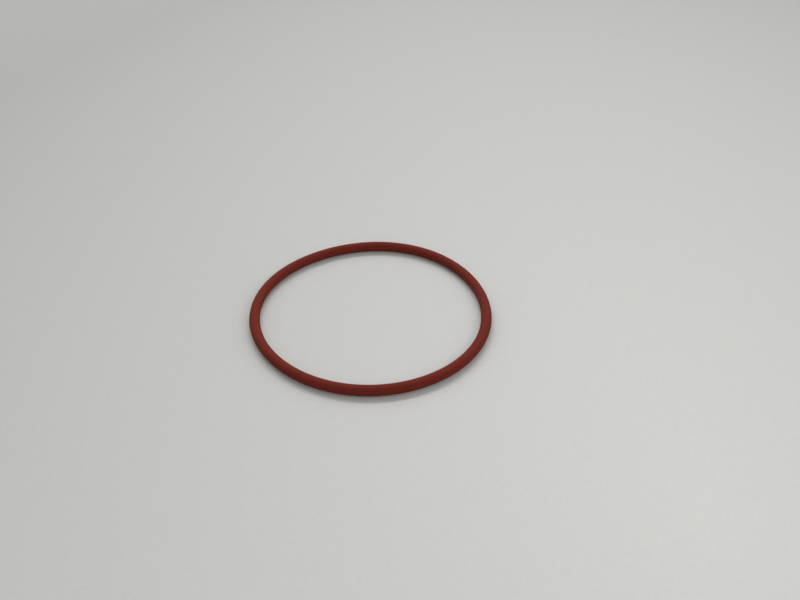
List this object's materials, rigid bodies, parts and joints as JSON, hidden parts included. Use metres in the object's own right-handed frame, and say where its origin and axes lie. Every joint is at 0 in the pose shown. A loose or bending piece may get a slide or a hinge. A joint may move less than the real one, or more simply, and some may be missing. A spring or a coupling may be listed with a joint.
{
  "type": "o-ring",
  "caption": "Moulded silicone ring of round section, a seal that is stretched over a shaft or seated in a groove.",
  "frame": {"origin": "centre of the ring: on its axis and in the mid-plane where the mould halves met", "axes": "+Z along the ring's axis, upright when the ring lies flat; +X and +Y are any two directions across it, because the ring is round"},
  "size_m": [0.083, 0.083, 0.0036],
  "materials": {
    "silicone": "matte"
  },
  "bodies": {
    "root": {"o_ring": "silicone"}
  },
  "joints": []
}
